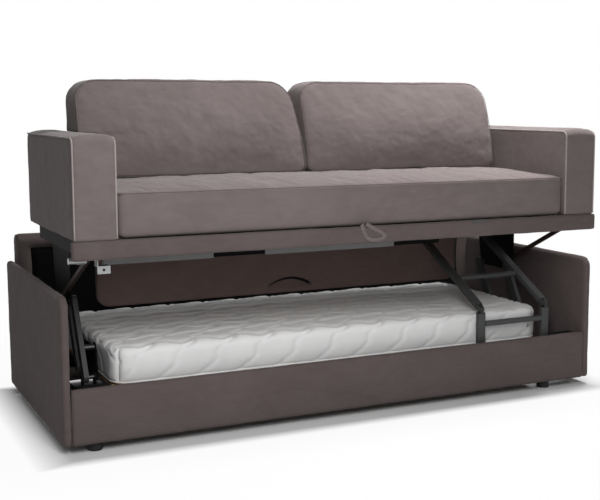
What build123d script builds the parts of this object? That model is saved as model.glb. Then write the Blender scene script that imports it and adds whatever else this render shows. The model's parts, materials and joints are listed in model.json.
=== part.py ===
from build123d import *
import os
from math import atan2, cos, degrees, hypot, radians, sin, tan

# Sofa raised on its lift over a lower bed.
# X runs along the sofa, the front faces -Y, Z is up from the floor.
# Everything is laid out with Y counted from the front of the arms and moved to the middle at the end.

# shares
half_share = 0.5
low_share = 0.12
middle_share = 0.5
high_share = 0.88
round_share = 0.45
crown_share = 0.65
crown_reach_share = 0.12

# clearances
seat_gap = 0.3          # soft pieces and loose trim beside what carries them
joint_gap = 0.05        # radial play of a pin in a moving hole

# base panels
foot_height = 28
panel_inner = 1086      # half the clear width between the side panels
panel_thick = 29
panel_front = 54
panel_rear = 1050
panel_top = 546
panel_edge = 9
panel_nose = 42         # round at the top front corner of a side panel
front_panel_thick = 27
front_panel_top = 226
front_panel_edge = 7
wall_thick = 85
wall_top = 660
wall_roll = 34
wall_border = 50
lining_depth = 12
lining_thick = 5

# feet
foot_radius = 26
foot_edge = 3
foot_side = 86          # from the inside of a side panel to the middle of a foot
foot_right_side = 181
foot_front = 40
foot_back = 43
foot_side_x = panel_inner - foot_side
foot_right_x = panel_inner - foot_right_side
foot_front_y = panel_front + foot_front
foot_back_y = panel_rear - foot_back

# base steel
steel_front = panel_front + front_panel_thick
cross_rail_depth = 20
cross_rail_tall = 62
cross_rail_top = foot_height + cross_rail_tall
bracket_depth = 46
bracket_tall = 194
bracket_top = foot_height + bracket_tall
bracket_side = 28       # from the inside of a side panel to the bracket
bracket_outer = panel_inner - bracket_side
bracket_edge = 2
layer_thick = 6
layer_gap = 2
link_thick = 18
lift_side = 149         # from the inside of a side panel to the base rail's inner face
base_rail_tall = 52
base_rail_top = foot_height + base_rail_tall
tab_radius = 18
pin_radius = 8
pin_head = 3            # how far a collar stands out round a pin

# plates of the lift, side by side from the bed outwards
rail_layer = panel_inner - lift_side
rear_layer = rail_layer + layer_thick + layer_gap
front_layer = rear_layer + link_thick + layer_gap
hanger_layer = front_layer + link_thick + layer_gap
brace_layer = hanger_layer + layer_thick

# links
lower_y = 320
lower_z = 200
link_length = 300
link_lean = 60
link_pitch = 192
link_radius = 20
bed_reach = 113         # distance from a lower pivot to the bed's pin
upper_y = lower_y + link_length * cos(radians(link_lean))
upper_z = lower_z + link_length * sin(radians(link_lean))
bed_pin_y = lower_y + bed_reach * cos(radians(link_lean))

# lower bed
bed_side = 22           # from the base rail to the bed's frame
bed_half = rail_layer - bed_side
bed_front = 120
bed_behind = 75         # from the bed back to the rear wall
bed_rear = panel_rear - wall_thick - bed_behind
bed_bottom = 179
bed_frame_thick = 11
frame_top = bed_bottom + bed_frame_thick
bed_frame_width = 30
bed_cross_width = 20
bed_cross_count = 8
slat_count = 26
slat_width = 48
slat_thick = 6.5
bed_bracket_step = 6
bed_bracket_in = bed_half + bed_bracket_step
bed_bracket_thick = 5
bed_bracket_reach = 36.5
bed_bracket_front = bed_pin_y - bed_bracket_reach
bed_bracket_rear = bed_pin_y + link_pitch + bed_bracket_reach
mattress_over = 3
mattress_half = bed_half + mattress_over
mattress_in = 18
mattress_behind = 8
mattress_front = bed_front + mattress_in
mattress_rear = bed_rear + mattress_behind
mattress_base = frame_top + slat_thick + seat_gap
mattress_tall = 134.2
mattress_corner = 70
mattress_round = 16
mattress_pull = 4
mattress_crown = 5
vent_side = 68
vent_up = 65.2
vent_x = mattress_half - vent_side
vent_z = mattress_base + vent_up
vent_radius = 9
vent_thick = 1.5
vent_hole = 4

# ladder
tube_width = 36
tube_depth = 20
tube_wall = 2
tube_edge = 4
ladder_wide = 318       # between the middles of its two rails
ladder_side = 3         # from the base rail to the right rail
ladder_right_x = rail_layer - ladder_side - tube_width * half_share
ladder_left_x = ladder_right_x - ladder_wide
elbow_y = bed_front - tube_depth * half_share
post_tall = 158
post_top = bed_bottom + post_tall
elbow_up = 20
elbow_z = post_top + elbow_up
lug_half = 7
lug_radius = 12
cheek_gap = 0.3
cheek_thick = 4
cheek_reach = 19
elbow_pin_radius = 5
rung_place = 215
rung_radius = 11
step_drop = 43
step_z = post_top - step_drop
step_tall = 20
step_depth = 24
step_edge = 4
roller_radius = 7
roller_width = 11
roller_side = 2.5
axle_radius = 3.5

# sofa
sofa_side = 5           # from the inside of a side panel to the end of the rail
sofa_rail_half = panel_inner - sofa_side
sofa_rail_front = -5
sofa_rail_thick = 30
sofa_rail_bottom = 671.5
sofa_rail_tall = 64.5
sofa_rail_top = sofa_rail_bottom + sofa_rail_tall
sofa_rail_edge = 6
arm_side = 9            # from the end of the rail to the outside of an arm
arm_width = 145
arm_outer = sofa_rail_half - arm_side
arm_inner = arm_outer - arm_width
arm_depth = 741
arm_tall = 340
arm_top = sofa_rail_top + arm_tall
arm_crown = 13
arm_outer_round = 20
arm_inner_round = 25
arm_edge = 7

# back frame and its sliding board
back_depth = 86
back_front = arm_depth - back_depth
back_wall = 15
back_rear_wall = 26
back_drop = 10
back_top = arm_top - back_drop
back_cap = 16
back_edge = 5
board_side = 92
board_half = arm_inner - board_side
board_in = 10
board_front = back_front + back_wall + board_in
board_thick = 22
board_drop = 1
board_tall = 350
board_top = sofa_rail_top - board_drop
board_bottom = board_top - board_tall
board_corner = 50
board_edge = 5
slot_half = 100
slot_up = 24
slot_low = board_bottom + slot_up
slot_rise = 30
slot_thick = 13
board_guide_thick = 8
board_guide_up = 8

# seat frame
front_cross_near = sofa_rail_front + sofa_rail_thick
deck_thick = 12
deck_in = 15
deck_behind = 1
deck_front = front_cross_near + deck_in
deck_rear = back_front - deck_behind
deck_half = arm_inner - seat_gap
deck_top = sofa_rail_top + deck_thick
tube_side = 31          # from the outside of an arm to the side tube
side_tube_outer = arm_outer - tube_side
side_tube_rear = arm_depth - back_rear_wall
frame_up = 4.5
frame_bottom = sofa_rail_bottom + frame_up
board_guide_bottom = frame_bottom + board_guide_up
cross_thick = 30
rear_cross_near = back_front - back_wall
lip_tall = 28
rear_cross_bottom = frame_bottom - lip_tall
hanger_drop = 14.8
hanger_sink = 8
hanger_nose = 30
hanger_tail = 68
hanger_heel = 28
hanger_top = sofa_rail_top - hanger_sink
hanger_bottom = upper_z - hanger_drop
hanger_front = upper_y - hanger_nose
hanger_rear = upper_y + link_pitch + hanger_tail
hanger_low_rear = upper_y + link_pitch + hanger_heel

# front beam under the seat
beam_back = 245
beam_near = front_cross_near + beam_back
beam_depth = 25
beam_tall = 121
beam_tall_right = 88
beam_bottom = sofa_rail_top - beam_tall
beam_bottom_high = sofa_rail_top - beam_tall_right
beam_left_side = 29     # from the base rail to the beam's left end
beam_right_side = 28
beam_left_length = 415
beam_right_length = 416
beam_left_a = beam_left_side - rail_layer
beam_left_b = beam_left_a + beam_left_length
beam_right_b = rail_layer - beam_right_side
beam_right_a = beam_right_b - beam_right_length
joiner_left_length = 209
joiner_right_length = 214
beam_mid_a = beam_left_b + joiner_left_length
beam_mid_b = beam_right_a - joiner_right_length
beam_edge = 2
joiner_inset = 3
angle_wide = 45
angle_side = 19
angle_right = beam_left_a - angle_side
angle_left = angle_right - angle_wide
angle_front = 106
angle_rear = 146
angle_down = 40
angle_tall = 27
angle_top = frame_bottom - angle_down
angle_bottom = angle_top - angle_tall
angle_thick = 3
angle_hole = 5
angle_cut = 12

# diagonal braces
brace_thick = 14
brace_in = 41
brace_front_y = front_cross_near + cross_thick + brace_in
brace_lean = 25.4
brace_past = 50
brace_rear_y = upper_y + brace_past
brace_width = 16
bolt_radius = 5
bolt_tall = 4
bolt_pitch = 32

# bright fitting at the left front
fitting_y = 100
fitting_down = 11.5
fitting_z = sofa_rail_bottom - fitting_down
fitting_radius = 11
fitting_long = 60
fitting_in = arm_outer - fitting_long
fitting_ribs = 5
fitting_rib_radius = 13
fitting_rib_wide = 3
fitting_rib_pitch = 6

# ladder guides
guide_before = 62
guide_behind = 28
guide_near = rear_cross_near - guide_before
guide_far = rear_cross_near + guide_behind
guide_lid = 6
guide_tall = 30
guide_high = rear_cross_bottom - guide_lid
guide_low = guide_high - guide_tall
guide_wall = 3
guide_reach = 16
roller_before = 1.34    # from the rear cross tube's face to the top rollers' axle
roller_up = 20.2        # from the channel's floor to the axle
roller_y = rear_cross_near - roller_before
roller_z = guide_low + roller_up
ladder_length = hypot(roller_y - elbow_y, roller_z - elbow_z)
ladder_lean = degrees(atan2(roller_z - elbow_z, roller_y - elbow_y))

# soft pieces
seat_front = 2
seat_base = deck_top + seat_gap
seat_tall = 148.7
seat_top = seat_base + seat_tall
seat_crown = 17
seat_corner = 34
seat_round = 14
seat_pull = 5
cushion_side = 11
cushion_width = arm_inner - cushion_side
cushion_tall = 355
cushion_thick = 205
cushion_corner = 70
cushion_round = 26
cushion_lean = 15
cushion_reach = 255
cushion_front = back_front - cushion_reach
cushion_between = 6
cushion_ear = 48
cushion_ear_tall = 170
settle_count = 6
strap_thick = 2.7
strap_x = -4
strap_down = 9
strap_z = sofa_rail_top - strap_down
strap_long = 76
strap_fall = 37
strap_radius = 20
strap_band = 6
zip_x = 476
zip_length = 62
zip_tall = 9
zip_down = 10
zip_z = sofa_rail_top - zip_down

shift_y = -(panel_rear + sofa_rail_front - seat_gap - strap_thick) * half_share


def block(x0, x1, y0, y1, z0, z1):
    size = Box(x1 - x0, y1 - y0, z1 - z0)
    return Pos((x0 + x1) * half_share, (y0 + y1) * half_share, (z0 + z1) * half_share) * size


def rounded(shape, radius):
    return fillet(shape.edges(), radius)


def side_plate(points, x0, x1):
    # a plate with its outline in Y and Z, from x0 to x1
    outline = Polyline(*points, close=True)
    return Pos(x0, 0, 0) * extrude(Plane.YZ * make_face(outline), amount=x1 - x0)


def rod(x0, x1, y, z, radius):
    # a round bar along X
    return Pos(x0, y, z) * extrude(Plane.YZ * Circle(radius), amount=x1 - x0)


def mirrored(shape):
    return mirror(shape, about=Plane.YZ)


def along(y, z, length, lean):
    return (y + length * cos(radians(lean)), z + length * sin(radians(lean)))


def capsule(y0, z0, y1, z1, radius, x0, x1):
    # a flat bar with round ends between two pivots
    length = ((y1 - y0) ** 2 + (z1 - z0) ** 2) ** half_share
    lean = degrees(atan2(z1 - z0, y1 - y0))
    bar = Pos(length * half_share, 0) * SlotCenterToCenter(length, radius + radius)
    flat = Pos(y0, z0) * Rot(0, 0, lean) * bar
    return Pos(x0, 0, 0) * extrude(Plane.YZ * flat, amount=x1 - x0)


def soft_stack(width, depth, height, corner, edge, pull, crown):
    # a stuffed block: rounded edges, sides drawn in at the middle and a crowned top, standing on z 0
    reach = min(width, depth) * crown_reach_share
    levels = [
        (0, edge),
        (height * low_share, 0),
        (height * middle_share, pull),
        (height * high_share, 0),
        (height, edge),
        (height + crown * crown_share, edge + reach * half_share),
        (height + crown, edge + reach + reach),
    ]
    sections = []
    for z, inset in levels:
        wide = width - inset - inset
        deep = depth - inset - inset
        bend = min(corner, min(wide, deep) * round_share)
        sections.append(Pos(0, 0, z) * RectangleRounded(wide, deep, bend))
    return loft([s.face() for s in sections], ruled=True)


# Base standing on the floor


def side_panel():
    flat = Polyline(
        (panel_front, foot_height),
        (panel_rear, foot_height),
        (panel_rear, panel_top),
        (panel_front, panel_top),
        close=True,
    )
    face = make_face(flat)
    nose = [v for v in face.vertices() if v.X < panel_rear - panel_edge and v.Y > panel_top - panel_edge]
    face = fillet(nose, panel_nose)
    slab = Pos(panel_inner, 0, 0) * extrude(Plane.YZ * face, amount=panel_thick)
    return rounded(slab, panel_edge)


def front_panel():
    half = panel_inner - seat_gap
    slab = block(-half, half, panel_front, panel_front + front_panel_thick, foot_height, front_panel_top)
    return rounded(slab, front_panel_edge)


def rear_wall():
    half = panel_inner - seat_gap
    front = panel_rear - wall_thick
    slab = block(-half, half, front, panel_rear, foot_height, wall_top)
    top = slab.edges().filter_by(Axis.X).group_by(Axis.Z)[-1]
    slab = fillet(top, wall_roll)
    inner = half - wall_border
    hollow = block(
        -inner, inner, front - panel_edge, front + lining_depth,
        foot_height + wall_border, wall_top - wall_border,
    )
    return slab - hollow


def rear_lining():
    inner = panel_inner - wall_border - seat_gap - seat_gap
    back = panel_rear - wall_thick + lining_depth
    low = foot_height + wall_border + seat_gap
    return block(-inner, inner, back - lining_thick, back, low, wall_top - wall_border - seat_gap)


def feet():
    spots = [
        (-foot_side_x, foot_front_y),
        (foot_right_x, foot_front_y),
        (-foot_side_x, foot_back_y),
        (foot_side_x, foot_back_y),
    ]
    foot = extrude(Circle(foot_radius), amount=foot_height)
    foot = fillet(foot.edges().group_by(Axis.Z)[0], foot_edge)
    return Compound([Pos(x, y, 0) * foot for x, y in spots])


def front_cross_rail():
    rear = steel_front + cross_rail_depth
    return block(-rail_layer, rail_layer, steel_front, rear, foot_height, cross_rail_top)


def corner_bracket():
    rear = steel_front + bracket_depth
    box = block(rail_layer, bracket_outer, steel_front, rear, foot_height, bracket_top)
    return fillet(box.edges().filter_by(Axis.Z), bracket_edge)


def base_rail():
    near = steel_front + bracket_depth
    outer = rail_layer + layer_thick
    shape = block(rail_layer, outer, near, panel_rear - wall_thick, foot_height, base_rail_top)
    for step in (0, link_pitch):
        y = lower_y + step
        shape += capsule(y, base_rail_top - tab_radius, y, lower_z, tab_radius, rail_layer, outer)
        shape -= rod(rail_layer, outer, y, lower_z, pin_radius)
    return shape


def base_pins():
    rear_y = lower_y + link_pitch
    return [
        rod(rail_layer, front_layer + link_thick + seat_gap, lower_y, lower_z, pin_radius),
        rod(rail_layer, rear_layer + link_thick + seat_gap, rear_y, lower_z, pin_radius),
    ]


# Links of the lift


def link(step, layer):
    # a flat bar with round ends and three pin holes
    y0 = lower_y + step
    y1, z1 = along(y0, lower_z, link_length, link_lean)
    outer = layer + link_thick
    bar = capsule(y0, lower_z, y1, z1, link_radius, layer, outer)
    for stop in (0, bed_reach, link_length):
        y, z = along(y0, lower_z, stop, link_lean)
        bar -= rod(layer, outer, y, z, pin_radius + joint_gap)
    return bar


# Lower bed


def bed_frame():
    outer = block(-bed_half, bed_half, bed_front, bed_rear, bed_bottom, frame_top)
    inner = block(
        -bed_half + bed_frame_width, bed_half - bed_frame_width,
        bed_front + bed_frame_width, bed_rear - bed_frame_width, bed_bottom, frame_top,
    )
    shape = outer - inner
    pitch = (bed_half + bed_half) / (bed_cross_count + 1)
    for i in range(1, bed_cross_count + 1):
        x = -bed_half + i * pitch
        half = bed_cross_width * half_share
        shape += block(x - half, x + half, bed_front, bed_rear, bed_bottom, frame_top)
    end = block(
        bed_half, bed_bracket_in, bed_bracket_front, bed_bracket_rear, bed_bottom, frame_top,
    )
    return shape + end + mirrored(end)


def slats():
    pitch = (bed_half + bed_half - slat_width) / (slat_count - 1)
    near = bed_front + panel_edge
    far = bed_rear - panel_edge
    return Compound([
        block(
            -bed_half + i * pitch, -bed_half + i * pitch + slat_width,
            near, far, frame_top, frame_top + slat_thick,
        )
        for i in range(slat_count)
    ])


def bed_pins_at():
    return [along(lower_y + step, lower_z, bed_reach, link_lean) for step in (0, link_pitch)]


def bed_bracket():
    (ya, za), (yb, zb) = bed_pins_at()
    outer = bed_bracket_in + bed_bracket_thick
    shape = side_plate(
        [
            (bed_bracket_front, bed_bottom),
            (bed_bracket_rear, bed_bottom),
            (yb + tab_radius, zb),
            (ya - tab_radius, za),
        ],
        bed_bracket_in, outer,
    )
    for y, z in ((ya, za), (yb, zb)):
        shape += rod(bed_bracket_in, outer, y, z, tab_radius)
        shape -= rod(bed_bracket_in, outer, y, z, pin_radius)
    return shape


def bed_pins():
    # each pin has a collar that fills the gap between the bracket and its link
    pins = []
    for (y, z), layer in zip(bed_pins_at(), (front_layer, rear_layer)):
        plate = bed_bracket_in + bed_bracket_thick
        pin = rod(bed_bracket_in, layer + link_thick + seat_gap, y, z, pin_radius)
        collar = rod(plate, layer - joint_gap - layer_gap, y, z, pin_radius + pin_head)
        pins.append(pin + collar)
    return pins


def mattress():
    width = mattress_half + mattress_half
    depth = mattress_rear - mattress_front
    middle = (mattress_front + mattress_rear) * half_share
    return Pos(0, middle, mattress_base) * soft_stack(
        width, depth, mattress_tall, mattress_corner, mattress_round, mattress_pull, mattress_crown,
    )


def mattress_vent():
    disc = extrude(Circle(vent_radius) - Circle(vent_hole), amount=vent_thick)
    y = mattress_front + mattress_pull - vent_thick
    return Pos(vent_x, y, vent_z) * Rot(90, 0, 0) * disc


# Ladder


def tube(length):
    # a hollow rectangular tube standing on z 0
    walls = tube_wall + tube_wall
    outer = RectangleRounded(tube_width, tube_depth, tube_edge)
    inner = RectangleRounded(tube_width - walls, tube_depth - walls, tube_edge - tube_wall)
    return extrude(outer - inner, amount=length)


def ladder_post(x):
    shape = tube(post_top - bed_bottom)
    return Pos(x, elbow_y, bed_bottom) * shape


def post_tip(x):
    # lug on top of a post, with the elbow's hole
    outline = RectangleRounded(tube_width, tube_depth, tube_edge)
    cap = Pos(x, elbow_y, post_top) * extrude(outline, amount=cheek_thick)
    tongue = block(
        x - lug_half, x + lug_half, elbow_y - lug_radius, elbow_y + lug_radius,
        post_top, elbow_z,
    )
    tongue += rod(x - lug_half, x + lug_half, elbow_y, elbow_z, lug_radius)
    shape = cap + (tongue & block(
        x - lug_half, x + lug_half, elbow_y - lug_radius, elbow_y + lug_radius,
        post_top, elbow_z + lug_radius,
    ))
    return shape - rod(x - lug_half, x + lug_half, elbow_y, elbow_z, elbow_pin_radius + joint_gap)


def ladder_step():
    half = tube_width * half_share
    x0 = ladder_left_x + half
    x1 = ladder_right_x - half
    depth = step_depth * half_share
    tall = step_tall * half_share
    bar = block(x0, x1, elbow_y - depth, elbow_y + depth, step_z - tall, step_z + tall)
    return fillet(bar.edges().filter_by(Axis.X), step_edge)


def ladder_rail(x):
    # upper rail along its own length, with a fork at the elbow
    length = ladder_length + roller_radius - cheek_reach
    half = tube_width * half_share
    body = Pos(0, 0, cheek_reach) * tube(length)
    inner = lug_half + cheek_gap
    thick = tube_depth * half_share - cheek_gap - cheek_gap
    for side in (-1, 1):
        x0 = side * inner
        x1 = side * (inner + cheek_thick)
        low, high = min(x0, x1), max(x0, x1)
        cheek = block(low, high, -thick, thick, 0, cheek_reach + cheek_reach)
        cheek += rod(low, high, 0, 0, thick)
        cheek -= rod(low, high, 0, 0, elbow_pin_radius)
        body += cheek
    lid = block(-half + tube_wall, half - tube_wall, -thick, thick, cheek_reach, cheek_reach + tube_wall)
    body += lid
    return Pos(x, elbow_y, elbow_z) * Rot(ladder_lean - 90, 0, 0) * body


def ladder_rung():
    y, z = along(elbow_y, elbow_z, rung_place, ladder_lean)
    half = tube_width * half_share
    return rod(ladder_left_x + half, ladder_right_x - half, y, z, rung_radius)


def ladder_rollers():
    y, z = along(elbow_y, elbow_z, ladder_length, ladder_lean)
    half = tube_width * half_share
    solids = []
    for x, way in ((ladder_left_x, 1), (ladder_right_x, -1)):
        face = x + way * half
        near = face + way * roller_side
        far = near + way * roller_width
        wheel = rod(min(near, far), max(near, far), y, z, roller_radius)
        axle = rod(min(face, near), max(face, near), y, z, axle_radius)
        solids.append(wheel + axle)
    return Compound(solids)


def elbow_pins():
    reach = lug_half + cheek_gap + cheek_thick
    return Compound([
        rod(x - reach, x + reach, elbow_y, elbow_z, elbow_pin_radius)
        for x in (ladder_left_x, ladder_right_x)
    ])


# Sofa


def front_rail():
    bar = block(
        -sofa_rail_half, sofa_rail_half, sofa_rail_front, sofa_rail_front + sofa_rail_thick,
        sofa_rail_bottom, sofa_rail_top,
    )
    return rounded(bar, sofa_rail_edge)


def arm():
    # rounded block with a low arched crown on top
    width = arm_outer - arm_inner
    tall = arm_top - sofa_rail_top
    levels = [
        (0, arm_edge),
        (arm_edge, 0),
        (arm_depth - arm_edge, 0),
        (arm_depth, arm_edge),
    ]
    sections = [
        Pos(0, 0, z) * RectangleRounded(width - inset - inset, tall - inset - inset, arm_outer_round)
        for z, inset in levels
    ]
    body = Rot(90, 0, 0) * loft([s.face() for s in sections], ruled=True)
    middle = (arm_outer + arm_inner) * half_share
    body = Pos(middle, arm_depth, sofa_rail_top + tall * half_share) * body
    near = arm_inner + arm_inner_round
    far = arm_outer - arm_outer_round
    low = arm_top - arm_edge
    crown = make_face(Wire([
        Line((near, low), (far, low)),
        Line((far, low), (far, arm_top)),
        ThreePointArc((far, arm_top), (middle, arm_top + arm_crown), (near, arm_top)),
        Line((near, arm_top), (near, low)),
    ]))
    cap = extrude(Plane.XZ * crown, amount=-(arm_depth - arm_edge - arm_edge))
    return body + Pos(0, arm_edge, 0) * cap


def underframe():
    # welded frame under the seat: two side tubes and two cross tubes
    half = hanger_layer + layer_thick
    side = block(half, side_tube_outer, front_cross_near, side_tube_rear, frame_bottom, sofa_rail_top)
    front = block(
        -half, half, front_cross_near, front_cross_near + cross_thick,
        frame_bottom, sofa_rail_top,
    )
    rear = block(
        -hanger_layer, hanger_layer, rear_cross_near, rear_cross_near + cross_thick,
        rear_cross_bottom, sofa_rail_top,
    )
    return side + mirrored(side) + front + rear


def seat_deck():
    return block(
        -deck_half, deck_half, deck_front, deck_rear,
        sofa_rail_top, deck_top,
    )


def upper_pins_at():
    return [along(lower_y + step, lower_z, link_length, link_lean) for step in (0, link_pitch)]


def hanger():
    # plate that carries the seat frame on the links' upper ends
    outer = hanger_layer + layer_thick
    shape = side_plate(
        [
            (hanger_front, hanger_top),
            (hanger_rear, hanger_top),
            (hanger_rear, sofa_rail_bottom),
            (hanger_low_rear, hanger_bottom),
            (hanger_front, hanger_bottom),
        ],
        hanger_layer, outer,
    )
    for y, z in upper_pins_at():
        shape -= rod(hanger_layer, outer, y, z, pin_radius)
    return shape


def hanger_pins():
    outer = hanger_layer + layer_thick
    return [
        rod(layer - seat_gap, outer, y, z, pin_radius)
        for (y, z), layer in zip(upper_pins_at(), (front_layer, rear_layer))
    ]


def beam(x0, x1, bottom):
    bar = block(x0, x1, beam_near, beam_near + beam_depth, bottom, sofa_rail_top)
    return fillet(bar.edges().filter_by(Axis.X), beam_edge)


def beam_joiners():
    # black lengths between the grey ones
    spans = [(beam_left_b, beam_mid_a), (beam_mid_b, beam_right_a)]
    return Compound([
        block(
            a, b, beam_near + joiner_inset, beam_near + beam_depth - joiner_inset,
            beam_bottom + joiner_inset, sofa_rail_top,
        )
        for a, b in spans
    ])


def beam_angle():
    flat = block(angle_left, angle_right, angle_front, angle_rear, angle_top - angle_thick, angle_top)
    face = block(angle_left, angle_right, angle_front, angle_front + angle_thick, angle_bottom, angle_top)
    stem = block(angle_left, angle_left + angle_thick, angle_front, angle_rear, angle_top, sofa_rail_top)
    tie = block(
        -hanger_layer - layer_thick, angle_left, angle_front, angle_rear,
        frame_bottom, frame_bottom + angle_thick,
    )
    middle = (angle_left + angle_right) * half_share
    height = (angle_top + angle_bottom) * half_share
    hole = Pos(middle, angle_front, height) * Rot(90, 0, 0) * Cylinder(angle_hole, angle_cut)
    return flat + stem + tie + (face - hole)


def brace():
    inner = brace_layer
    outer = brace_layer + brace_thick
    half = brace_width * half_share / cos(radians(brace_lean))
    fall = tan(radians(brace_lean))
    centre = frame_bottom - half
    drop = (brace_rear_y - brace_front_y) * fall
    return side_plate(
        [
            (brace_front_y, frame_bottom),
            (brace_front_y + half / fall, frame_bottom),
            (brace_rear_y, centre - drop + half + half),
            (brace_rear_y, centre - drop),
            (brace_front_y, centre),
        ],
        inner, outer,
    )


def brace_line(y):
    return frame_bottom - (y - brace_front_y) * tan(radians(brace_lean))


def brace_bolts():
    face = brace_layer + brace_thick
    solids = []
    for y in (upper_y, upper_y + bolt_pitch):
        bolt = rod(face, face + bolt_tall, y, brace_line(y), bolt_radius)
        solids += [bolt, mirrored(bolt)]
    return Compound(solids)


def ladder_guides():
    # channels open towards the rails; the top rollers run in them
    solids = []
    half = tube_width * half_share
    y0, y1 = guide_near, guide_far
    for x, way in ((ladder_left_x, 1), (ladder_right_x, -1)):
        near = x + way * (half + seat_gap + seat_gap)
        far = near + way * guide_reach
        back = far + way * guide_wall
        low, high = min(near, back), max(near, back)
        web_low, web_high = min(far, back), max(far, back)
        shape = block(low, high, y0, y1, guide_low - guide_wall, guide_low)
        shape += block(low, high, y0, y1, guide_high, rear_cross_bottom)
        shape += block(web_low, web_high, y0, y1, guide_low - guide_wall, rear_cross_bottom)
        solids.append(shape)
    return Compound(solids)


def bright_fitting():
    shape = rod(-arm_outer, -fitting_in, fitting_y, fitting_z, fitting_radius)
    for i in range(fitting_ribs):
        x = -fitting_in - (i + 1) * fitting_rib_pitch
        shape += rod(x, x + fitting_rib_wide, fitting_y, fitting_z, fitting_rib_radius)
    saddle = block(
        -fitting_in - fitting_rib_pitch - fitting_rib_pitch, -fitting_in,
        fitting_y - fitting_radius, fitting_y + fitting_radius, fitting_z, frame_bottom,
    )
    return shape + saddle


def back_frame():
    half = arm_inner - seat_gap
    inner_y = back_front + back_wall
    rear_y = arm_depth - back_rear_wall
    front = block(-half, half, back_front, inner_y, deck_top, back_top)
    rear = block(-half, half, rear_y, arm_depth, frame_bottom, back_top)
    cap = block(-half, half, back_front, arm_depth, back_top - back_cap, back_top)
    shape = front + rear + cap
    ends = block(board_half + seat_gap + board_guide_thick, half, inner_y, rear_y, deck_top, back_top)
    shape += ends + mirrored(ends)
    top = shape.edges().filter_by(Axis.X).group_by(Axis.Z)[-1]
    return fillet(top, back_edge)


def board_guides():
    inner = board_half + seat_gap
    bar = block(
        inner, inner + board_guide_thick, back_front + back_wall, arm_depth - back_rear_wall,
        board_guide_bottom, back_top - back_cap,
    )
    return Compound([bar, mirrored(bar)])


def arc_band(half, low, rise, thick):
    # an arched slot outline in X and Z
    lower = ThreePointArc((-half, low), (0, low + rise), (half, low))
    right = Line((half, low), (half, low + thick))
    upper = ThreePointArc((half, low + thick), (0, low + rise + thick), (-half, low + thick))
    left = Line((-half, low + thick), (-half, low))
    return make_face(Wire([lower, right, upper, left]))


def slot_board():
    outline = Pos(0, (board_bottom + board_top) * half_share) * Rectangle(
        board_half + board_half, board_top - board_bottom,
    )
    lows = [v for v in outline.vertices() if v.Y < (board_bottom + board_top) * half_share]
    outline = fillet(lows, board_corner)
    slab = extrude(Plane.XZ * outline, amount=-board_thick)
    rims = slab.edges().group_by(Axis.Y)
    slab = chamfer(rims[0] + rims[-1], board_edge)
    slot = extrude(Plane.XZ * arc_band(slot_half, slot_low, slot_rise, slot_thick), amount=-board_thick)
    return Pos(0, board_front, 0) * (slab - slot)


def seat_cushion():
    half = arm_inner - seat_gap
    depth = back_front - seat_gap - seat_front
    shape = soft_stack(
        half + half, depth, seat_top - seat_base, seat_corner, seat_round, seat_pull, seat_crown,
    )
    return Pos(0, seat_front + depth * half_share, seat_base) * shape


def settled(shape, carrier):
    # lower a shape onto its carrier, keeping the seat gap
    for _ in range(settle_count):
        shape = Pos(0, 0, seat_gap - shape.distance_to(carrier)) * shape
    return shape


def back_cushion(side, seat):
    core = soft_stack(
        cushion_width, cushion_tall, cushion_thick * high_share,
        cushion_corner, cushion_round, seat_pull, cushion_thick * low_share,
    )
    shape = Rot(90, 0, 0) * core
    low = shape.bounding_box().min.Z
    middle = side * (cushion_width * half_share + cushion_between * half_share)
    lift = seat_top + seat_crown + cushion_round - low
    rear = cushion_front + cushion_thick + cushion_round
    shape = Rot(-cushion_lean, 0, 0) * shape
    shape = Pos(middle, rear, lift) * shape
    if side < 0:
        box = shape.bounding_box()
        ear = soft_stack(
            cushion_ear + cushion_ear_tall, cushion_ear_tall, cushion_thick * crown_share,
            cushion_corner, cushion_round, seat_pull, cushion_round,
        )
        ear = Rot(-cushion_lean, 0, 0) * (Rot(90, 0, 0) * ear)
        reach = ear.bounding_box()
        x = box.min.X - cushion_ear - reach.min.X
        z = box.max.Z - reach.max.Z - cushion_round
        y = (box.min.Y + box.max.Y - reach.min.Y - reach.max.Y) * half_share + cushion_round
        shape = shape + Pos(x, y, z) * ear
    return settled(shape, seat)


def pull_strap():
    front = sofa_rail_front - seat_gap
    length = (strap_long ** 2 + strap_fall ** 2) ** half_share
    lean = -degrees(atan2(strap_fall, strap_long))
    outer = SlotCenterToCenter(length, strap_radius + strap_radius)
    inner = SlotCenterToCenter(length, strap_radius + strap_radius - strap_band - strap_band)
    ring = Pos(length * half_share, 0) * (outer - inner)
    ring = Pos(strap_x, strap_z) * Rot(0, 0, lean) * ring
    return Pos(0, front, 0) * extrude(Plane.XZ * ring, amount=strap_thick)


def zip_pull():
    front = sofa_rail_front - seat_gap
    tab = block(zip_x, zip_x + zip_length, front - strap_thick, front, zip_z, zip_z + zip_tall)
    return fillet(tab.edges().filter_by(Axis.Y), zip_tall * low_share)


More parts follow.
